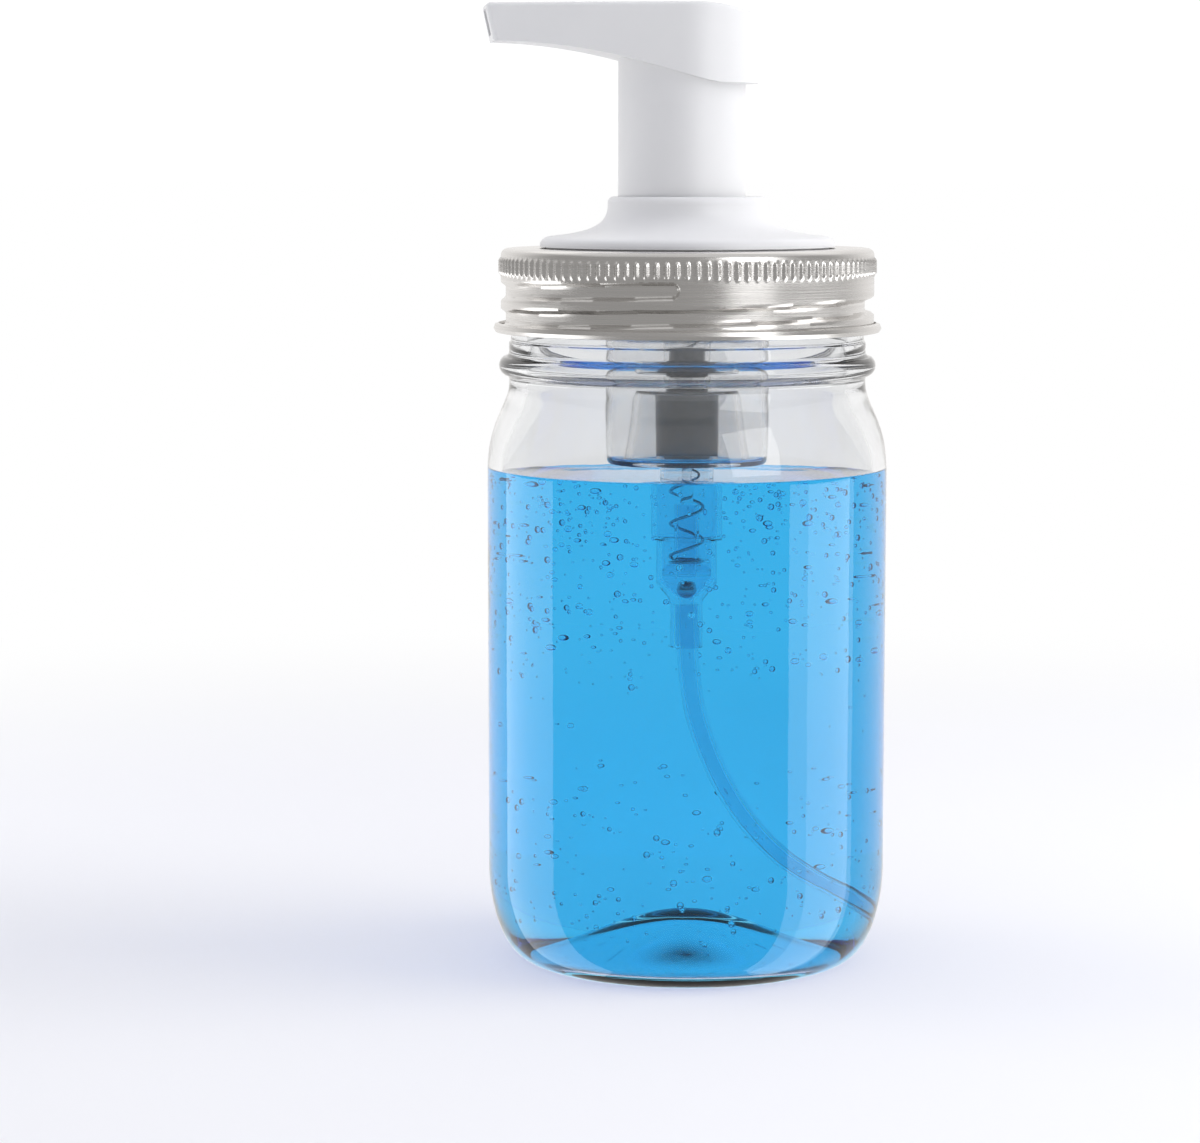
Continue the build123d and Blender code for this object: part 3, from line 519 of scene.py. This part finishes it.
def makeBand():
    half = band["sheet"] / 2
    top = bandTop - half
    wall = band["wall"] - half
    knurlHigh = bandTop - band["knurlTop"]
    knurlLow = knurlHigh - band["knurlLength"]
    curlZ = bandLow + band["curl"] + half
    # the middle line of the sheet: flange, corner, wall, and the curl turned outwards
    middle = joined(
        line((band["opening"], top), (wall - band["corner"], top), 3),
        ellipseArc((wall - band["corner"], top - band["corner"]), band["corner"], band["corner"], 90, 0, 6),
        line((wall, top - band["corner"]), (wall, knurlLow - 0.2), 13),
        line((wall, knurlLow - 0.2), (wall, curlZ), 28),
        ellipseArc((wall + band["curl"], curlZ), band["curl"], band["curl"], 180, 455, 12))
    along = np.gradient(middle, axis=0)
    along /= np.linalg.norm(along, axis=1, keepdims=True)
    outwards = np.stack([-along[:, 1], along[:, 0]], 1)
    outer = middle + half * outwards
    inner = (middle - half * outwards)[::-1]
    keep = np.r_[np.arange(0, 11, 2), np.arange(11, len(inner), 3), len(inner) - 1]
    outline = np.concatenate([outer, inner[keep]])[::-1]
    slopePitch = band["pitch"] / tau

    def pressed(angle, radius, height):
        # knurls stand out as cosine ribs with round ends, and the thread groove goes in with
        # smooth flanks (3t^2 - 2t^3) along z = level + pitch * angle, deepest on the +X side
        onWall = (np.abs(radius - wall) < half + 0.02) & (height > curlZ + 0.05)
        phase = (angle * band["knurls"] / tau) % 1 - 0.5
        across = np.abs(phase) / (band["knurlShare"] / 2)
        middleZ = (knurlHigh + knurlLow) / 2
        widthMm = tau * band["wall"] / band["knurls"] * band["knurlShare"] / 2
        past = np.maximum(np.abs(height - middleZ) - (band["knurlLength"] / 2 - widthMm), 0) / widthMm
        away = np.sqrt(across**2 + past**2)
        rib = np.where(away < 1, np.cos(away * math.pi / 2) ** 1.2, 0) * band["knurlHeight"]
        turns = np.arange(-1, 1)[:, None, None]
        unrolled = angle[None] + tau * turns
        start, end = math.radians(band["grooveStart"]), math.radians(band["grooveEnd"])
        offset = height[None] - band["grooveLevel"] - slopePitch * unrolled
        beyond = np.maximum(unrolled - end, 0) * wall + np.maximum(start - unrolled, 0) * wall * 0.12
        distance = np.sqrt(offset**2 + beyond**2) / band["grooveHalf"]
        flank = np.clip((1 - distance) / (1 - band["grooveFlat"]), 0, 1)
        depth = band["grooveDepth"] + band["grooveDeeper"] * np.maximum(np.cos(unrolled), 0) ** 2
        furrow = (depth * flank**2 * (3 - 2 * flank)).max(0)
        return onWall * (rib - furrow)

    piece = turnedPiece("threadedBand", outline, [satinSteel], steps=1200, closed=True, bulge=pressed)
    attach(piece, "band")
    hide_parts("screw_band")


makeBand()
print("band made")


cylinder = dict(flange=20.0, flangeThickness=1.2, radius=15.8, wall=1.1, depth=41.8, taper=0.3,
                taperHeight=7.5, coneHeight=12.5, coneLow=12.2, coneHigh=9.9,
                sleeveHigh=6.3, sleeveLow=6.0, upper=5.2, upperBore=4.4, upperLength=14.9,
                lower=4.4, lowerBore=3.6, lowerLength=8.3, funnel=3.2, throat=1.0,
                socket=2.37, socketBore=1.62, socketLength=9.2, stop=0.8, wideBore=4.9, wideLow=99.0)


def makeCylinder():
    c = cylinder
    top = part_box("pump_cylinder")[1].z / mm
    floor = top - c["depth"]
    step = floor - c["upperLength"]
    lowerEnd = step - c["lowerLength"]
    socketTop = lowerEnd - c["funnel"]
    socketEnd = socketTop - c["socketLength"]
    wall = c["wall"]
    corners = [
        (c["flange"], top, 0.2), (c["flange"], top - c["flangeThickness"], 0.2),
        (c["radius"], top - c["flangeThickness"], 0.3), (c["radius"], floor + c["taperHeight"], 1.0),
        (c["radius"] - c["taper"], floor, 1.6), (c["coneLow"] - wall, floor, 0.8),
        (c["coneHigh"] - wall, floor + c["coneHeight"], 0.6),
        (c["sleeveHigh"], floor + c["coneHeight"], 0.4),
        (c["sleeveLow"], floor, 0.3), (c["upper"], floor, 0.3), (c["upper"], step, 0.4),
        (c["lower"], step, 0.3), (c["lower"], lowerEnd, 0.4), (c["socket"], socketTop, 0.4),
        (c["socket"], socketEnd, 0.2), (c["socketBore"], socketEnd, 0.2),
        (c["socketBore"], socketTop - c["stop"], 0.1), (c["throat"], socketTop - c["stop"], 0.1),
        (c["throat"], socketTop + 0.8, 0.3), (c["lowerBore"], lowerEnd + 0.8, 0.4),
        (c["lowerBore"], step + 0.8, 0.3), (c["upperBore"], step + 0.8, 0.3),
        (c["upperBore"], c["wideLow"] + 0.8, 0.2), (c["wideBore"], c["wideLow"] + 0.8, 0.2),
        (c["wideBore"], floor + c["coneHeight"] + wall, 0.2),
        (c["coneHigh"], floor + c["coneHeight"] + wall, 0.6), (c["coneLow"], floor + wall, 0.8),
        (c["radius"] - wall, floor + wall, 0.9), (c["radius"] - wall, top, 0.2)]
    outline = softened(corners)[::-1]
    # a long wall is cut at the soap's surface, where it turns wet
    wetAt = np.flatnonzero((outline[:-1, 1] - soapLevel) * (outline[1:, 1] - soapLevel) < 0)
    cuts = [(i, (soapLevel - outline[i, 1]) / (outline[i + 1, 1] - outline[i, 1])) for i in wetAt]
    cutPoints = [outline[i] + share * (outline[i + 1] - outline[i]) for i, share in cuts]
    outline = np.insert(outline, [i + 1 for i, share in cuts], cutPoints, 0)

    def slotOf(height, radius, row):
        # the liquid cylinder's bore, clear in the real pump, is lined with dark grey: painted shade standing
        # in for the dark look of the wet grey piston seen through the wall
        sleeve = (height > floor + 0.9) & (height < floor + c["coneHeight"] + 0.9)
        paintedShadeLiner = (radius < c["wideBore"] + 0.02) & sleeve
        return np.where(paintedShadeLiner, 2, (height < soapLevel).astype(int))

    # slot 2 (greyPlastic) is the bore's painted shade lining
    piece = turnedPiece("pumpCylinder", outline, [clearPlastic, wetPlastic, greyPlastic], steps=128,
                        closed=True, slotOfHeight=slotOf)
    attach(piece, "pump_body")
    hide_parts("pump_cylinder")


makeCylinder()


tube = dict(radius=1.6, bore=1.0,
            route=((0, 0, 70.3), (0, 0, 55.5), (3.2, 0, 40.5), (9.2, 0, 26.5), (18.5, 0, 15.6),
                   (31.3, 0, 8.9)))


def makeTube():
    # a chain of quadratic curves, each from one run's middle to the next about the point between
    points = np.array(tube["route"], float)
    middles = np.concatenate([points[:1], (points[1:-2] + points[2:-1]) / 2, points[-1:]])
    corners = points[1:-1]
    t = np.linspace(0, 1, 24, endpoint=False)[:, None]
    spans = [(1 - t) ** 2 * a + 2 * t * (1 - t) * p + t**2 * b
             for a, p, b in zip(middles[:-1], corners, middles[1:])]
    route = np.concatenate([*spans, points[-1:]])
    piece = tubePiece("dipTube", route, tube["radius"], [wetPlastic], sides=32, bore=tube["bore"])
    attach(piece, "pump_body")
    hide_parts("dip_tube")


makeTube()


spring = dict(radius=2.37, wire=0.28, turns=9.6, deadTurns=1.3, keep=0.70)


def makeSpring():
    low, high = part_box("return_spring")[0].z / mm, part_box("return_spring")[1].z / mm
    wire, dead, turns = spring["wire"], spring["deadTurns"], spring["turns"]
    bottom, top = low + wire, high - wire
    turn = np.linspace(0, turns, int(turns * 36))
    # closed coils at each end climb a wire's width a turn, the open ones between share the rest
    closed = 2 * wire * 1.03
    openShare = (top - bottom - 2 * closed * dead) / (turns - 2 * dead)
    height = bottom + closed * np.minimum(turn, dead) \
        + openShare * np.clip(turn - dead, 0, turns - 2 * dead) \
        + closed * np.maximum(turn - turns + dead, 0)
    angle = turn * tau + 0.6
    route = np.stack([spring["radius"] * np.cos(angle), spring["radius"] * np.sin(angle), height], 1)
    piece = tubePiece("returnSpring", route, wire, [springSteel], sides=10, side=(0, 0, 1.0))
    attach(piece, "pump_body")
    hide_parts("return_spring")
    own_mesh(piece)


makeSpring()
print("pump made")


studio = dict(
    floorReach=60.0, floorLevel=-0.0001, whiteFrom=0.16, whiteTo=0.50,
    glowFrom=0.018, glowTo=0.029, glow=0.55,
    roomColour=(1.0, 0.985, 0.97, 1), roomFront=0.38, roomBack=1.0,
    softColour=(0.90, 0.91, 1.0, 1), soft=0.53,
    seen=1.05, throughFront=0.26, throughBack=1.05, lens=105.27, sensor=36,
    cameraAt=(-0.01686, -0.67939, 0.15461), cameraTilt=83.357)


def floorFinish():
    # pale near the jar, and running out to the white of the backdrop further off
    made, tree, shader = finishNodes("paleFloor", dict(
        patch=2, grain=300, bumpDepth=0.00001, bumpStrength=0.02, roughness=(0.6, 0.7),
        tones=((0.90, 0.90, 0.915), (0.93, 0.93, 0.94)), sockets={"Specular IOR Level": 0.0}))
    where = addNode(tree, "ShaderNodeTexCoord").outputs["Object"]
    away = addNode(tree, "ShaderNodeVectorMath", {0: where}, operation="LENGTH")
    share = addNode(tree, "ShaderNodeMapRange", {
        "Value": away.outputs["Value"], "From Min": studio["whiteFrom"],
        "From Max": studio["whiteTo"]}, interpolation_type="SMOOTHSTEP")
    # painted light: the floor under the jar glows, standing in for the light that the jar's hollow base
    # gathers
    paintedGlowUnderJar = addNode(tree, "ShaderNodeMapRange", {
        "Value": away.outputs["Value"], "From Min": studio["glowFrom"], "From Max": studio["glowTo"],
        "To Min": studio["glow"], "To Max": 0.0}, interpolation_type="SMOOTHSTEP")
    both = addNode(tree, "ShaderNodeMath", {0: share.outputs[0], 1: paintedGlowUnderJar.outputs[0]},
                   operation="MAXIMUM")
    white = addNode(tree, "ShaderNodeEmission", {"Color": (1, 1, 1, 1), "Strength": 1.0})
    blend = addNode(tree, "ShaderNodeMixShader", {
        0: both.outputs[0], 1: shader.outputs[0], 2: white.outputs[0]})
    output = addNode(tree, "ShaderNodeOutputMaterial")
    tree.links.new(blend.outputs[0], output.inputs["Surface"])
    return made


def makeFloor():
    far, low = studio["floorReach"], studio["floorLevel"]
    corners = [(-far, -far, low), (far, -far, low), (far, far, low), (-far, far, low)]
    floor = meshPiece("floor", np.array(corners), [np.array([[0, 1, 2, 3]])], [floorFinish()])
    floor.visible_glossy = False


def softbox(name, place, aim, width, height, power, inGloss=True, inDiffuse=True):
    lamp = bpy.data.lights.new(name, "AREA")
    lamp.shape = "RECTANGLE"
    lamp.size, lamp.size_y = width, height
    lamp.energy = power
    holder = bpy.data.objects.new(name, lamp)
    bpy.context.scene.collection.objects.link(holder)
    away = np.array(aim, float) - np.array(place, float)
    away /= np.linalg.norm(away)
    holder.location = place
    holder.rotation_euler = (math.acos(-away[2]), 0, math.atan2(away[1], away[0]) - math.pi / 2)
    holder.visible_camera = False
    holder.visible_transmission = False
    holder.visible_glossy = inGloss
    holder.visible_diffuse = inDiffuse


def makeWorld():
    # white where it is seen or shines through glass, a soft grade from back to front elsewhere
    world = bpy.data.worlds.new("studio")
    bpy.context.scene.world = world
    world.use_nodes = True
    tree = world.node_tree
    tree.nodes.clear()
    paths = addNode(tree, "ShaderNodeLightPath")
    where = addNode(tree, "ShaderNodeTexCoord").outputs["Generated"]
    split = addNode(tree, "ShaderNodeSeparateXYZ", {"Vector": where})
    grade = addNode(tree, "ShaderNodeMapRange", {
        "Value": split.outputs["Y"], "From Min": 0.0, "From Max": 0.9, "To Min": studio["roomFront"],
        "To Max": studio["roomBack"]}, interpolation_type="SMOOTHSTEP")
    room = addNode(tree, "ShaderNodeBackground", {
        "Color": studio["roomColour"], "Strength": grade.outputs[0]})
    soft = addNode(tree, "ShaderNodeBackground", {
        "Color": studio["softColour"], "Strength": studio["soft"]})
    white = addNode(tree, "ShaderNodeBackground", {"Color": (1, 1, 1, 1), "Strength": studio["seen"]})
    bend = addNode(tree, "ShaderNodeMapRange", {
        "Value": split.outputs["Y"], "From Min": -0.25, "From Max": 0.55, "To Min": studio["throughFront"],
        "To Max": studio["throughBack"]}, interpolation_type="SMOOTHSTEP")
    through = addNode(tree, "ShaderNodeBackground", {"Color": (1, 1, 1, 1), "Strength": bend.outputs[0]})
    first = addNode(tree, "ShaderNodeMixShader", {
        0: paths.outputs["Is Diffuse Ray"], 1: room.outputs[0], 2: soft.outputs[0]})
    second = addNode(tree, "ShaderNodeMixShader", {
        0: paths.outputs["Is Transmission Ray"], 1: first.outputs[0], 2: through.outputs[0]})
    third = addNode(tree, "ShaderNodeMixShader", {
        0: paths.outputs["Is Camera Ray"], 1: second.outputs[0], 2: white.outputs[0]})
    output = addNode(tree, "ShaderNodeOutputWorld")
    tree.links.new(third.outputs[0], output.inputs["Surface"])


def makeCamera():
    lens = bpy.data.cameras.new("camera")
    lens.lens, lens.sensor_width = studio["lens"], studio["sensor"]
    lens.clip_start, lens.clip_end = 0.01, 30
    holder = bpy.data.objects.new("camera", lens)
    bpy.context.scene.collection.objects.link(holder)
    holder.location = studio["cameraAt"]
    holder.rotation_euler = (math.radians(studio["cameraTilt"]), 0, 0)
    bpy.context.scene.camera = holder


makeFloor()
lamps = {
    "keyFront": dict(place=(0.554, -0.709, 0.42), aim=(0, 0, 0.12), width=0.50, height=0.60, power=2.6,
                     inDiffuse=False),
    "keySide": dict(place=(0.60, -0.05, 0.42), aim=(0, 0, 0.08), width=0.50, height=0.74, power=3.4,
                    inGloss=False),
    "fillLeft": dict(place=(-0.57, 0.185, 0.42), aim=(0, 0, 0.08), width=0.34, height=0.74, power=1.1,
                     inGloss=False),
    "overhead": dict(place=(0.05, 0.15, 1.6), aim=(0, 0, 0), width=3.2, height=3.2, power=11.0),
    "stripRight": dict(place=(0.59, -0.104, -0.59), aim=(0, 0, -0.59), width=0.50, height=1.30, power=3.4,
                       inDiffuse=False),
    "stripRightCore": dict(place=(0.54, -0.02, -0.59), aim=(0, 0, -0.59), width=0.36, height=1.30,
                           power=1.6, inDiffuse=False),
    "stripLeft": dict(place=(-0.583, 0.14, -0.59), aim=(0, 0, -0.59), width=0.48, height=1.30, power=3.1,
                      inDiffuse=False),
}
for lampName, lampFacts in lamps.items():
    softbox(lampName, **lampFacts)
makeWorld()
makeCamera()
scene = bpy.context.scene
scene.view_settings.view_transform = "Standard"
scene.cycles.max_bounces = 24
scene.cycles.transmission_bounces = 24
scene.cycles.transparent_max_bounces = 32
print("studio made")
